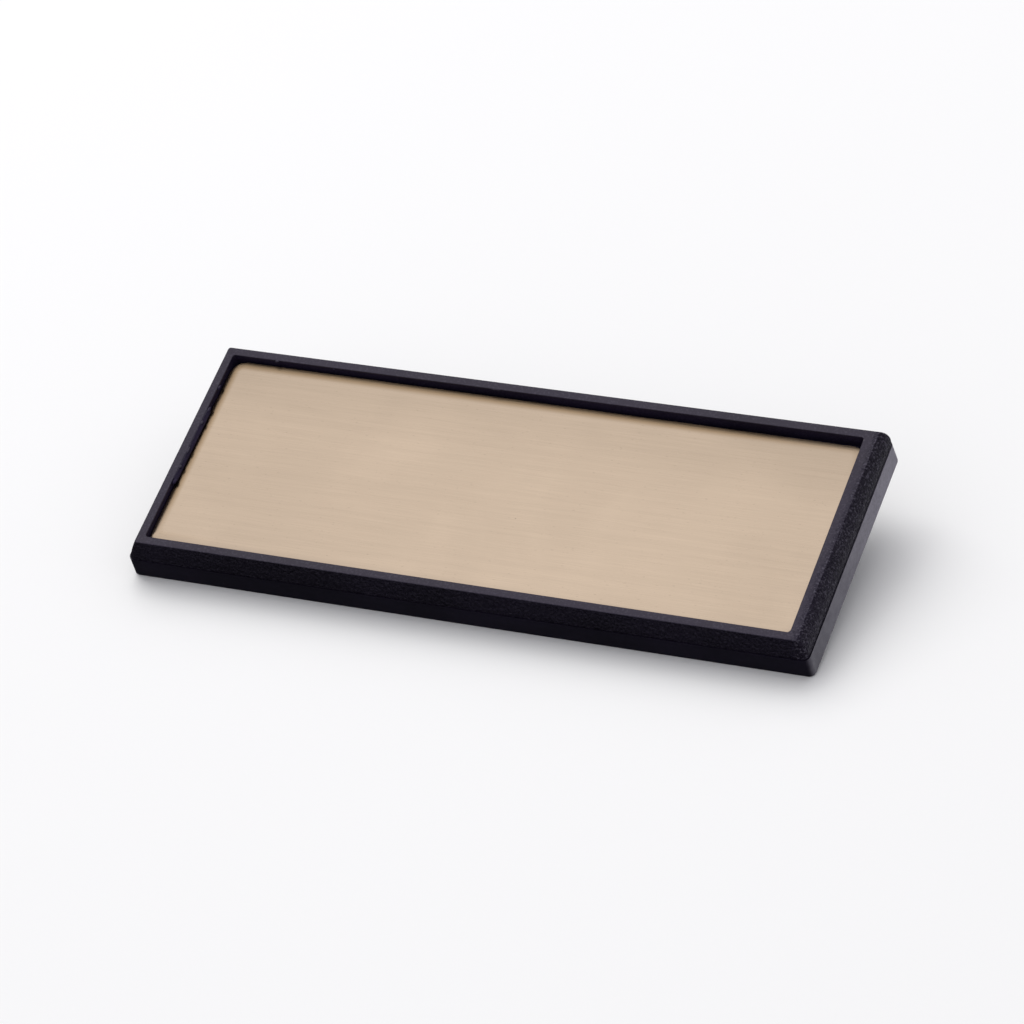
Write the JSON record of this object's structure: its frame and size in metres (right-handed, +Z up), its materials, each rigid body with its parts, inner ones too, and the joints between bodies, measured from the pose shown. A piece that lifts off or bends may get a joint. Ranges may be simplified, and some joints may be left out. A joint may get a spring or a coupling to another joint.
{
  "type": "name badge",
  "caption": "Rectangular name badge: a black moulded frame around a brushed plate, with a sprung needle and a catch on its back.",
  "frame": {"origin": "on the surface that the badge lies on, under the middle of its box", "axes": "+X along the badge, to the right when it is read from the front; +Z up; the badge lies face up, tipped forward on its pin blocks, with the upper edge of its face towards +Y"},
  "size_m": [0.08, 0.0286, 0.0125],
  "materials": {
    "frame_plastic": "black moulding: fine grain on its upper sides, smooth semi-gloss lower wall and back",
    "plate_metal": "pale gold, brushed along its length",
    "needle_steel": "bright drawn wire with a ground point"
  },
  "bodies": {
    "badge": {"badge_frame": "frame_plastic", "face_plate": "plate_metal"},
    "needle": {"pin_needle": "needle_steel"}
  },
  "joints": [
    {"name": "needle_swing", "type": "hinge", "parent": "badge", "child": "needle", "pos_m": [-0.014, 0.00716, 0.00221], "axis": [0, -0.3694, -0.9293], "range_deg": [0, 10], "stiffness_Nm_per_rad": 0.2}
  ]
}
